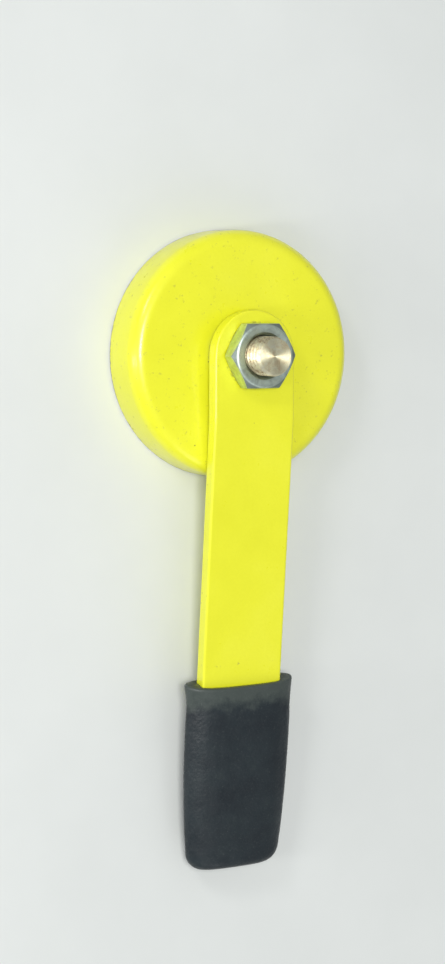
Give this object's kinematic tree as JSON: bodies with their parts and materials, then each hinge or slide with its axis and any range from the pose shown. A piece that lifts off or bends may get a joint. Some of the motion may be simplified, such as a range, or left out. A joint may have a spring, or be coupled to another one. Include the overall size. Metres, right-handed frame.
{
  "type": "magnetic welding ground clamp",
  "caption": "Round pot magnet with a copper contact stud, a flat strip handle with a slip-on vinyl grip and a hex terminal nut, used to clamp a welding earth lead to steel.",
  "frame": {"origin": "centre of the contact face, on the stud's axis, in the plane that rests on the work", "axes": "+Z along the stud, away from the work and towards the terminal nut; -Y along the handle, towards the grip; +X across the handle"},
  "size_m": [0.0508, 0.1324, 0.0232],
  "materials": {
    "yellow_paint": "lemon yellow gloss powder coat",
    "strip_paint": "lemon yellow gloss powder coat",
    "ferrite": "ground sintered ferrite",
    "potting": "poured black epoxy",
    "sleeve_plastic": "moulded black nylon",
    "copper": "turned copper, lathe marks on the end",
    "zinc_plate": "bright zinc plate",
    "nut_zinc": "blue-passivated zinc plate",
    "vinyl": "soft black vinyl, fine grain"
  },
  "bodies": {
    "base": {"magnet_cup": "yellow_paint", "ring_magnet": "ferrite", "potting_ring": "potting", "centre_sleeve": "sleeve_plastic", "contact_stud": "copper", "base_washer": "zinc_plate"},
    "handle": {"handle_strip": "strip_paint", "vinyl_grip": "vinyl"},
    "nut": {"terminal_nut": "nut_zinc"}
  },
  "joints": [
    {"name": "handle_swivel", "type": "hinge", "parent": "base", "child": "handle", "pos_m": [0, 0, 0.01373], "axis": [0, 0, 1], "continuous": true},
    {"name": "nut_travel", "type": "slide", "parent": "base", "child": "nut", "axis": [0, 0, 1], "range_m": [0, 0.0079]}
  ]
}
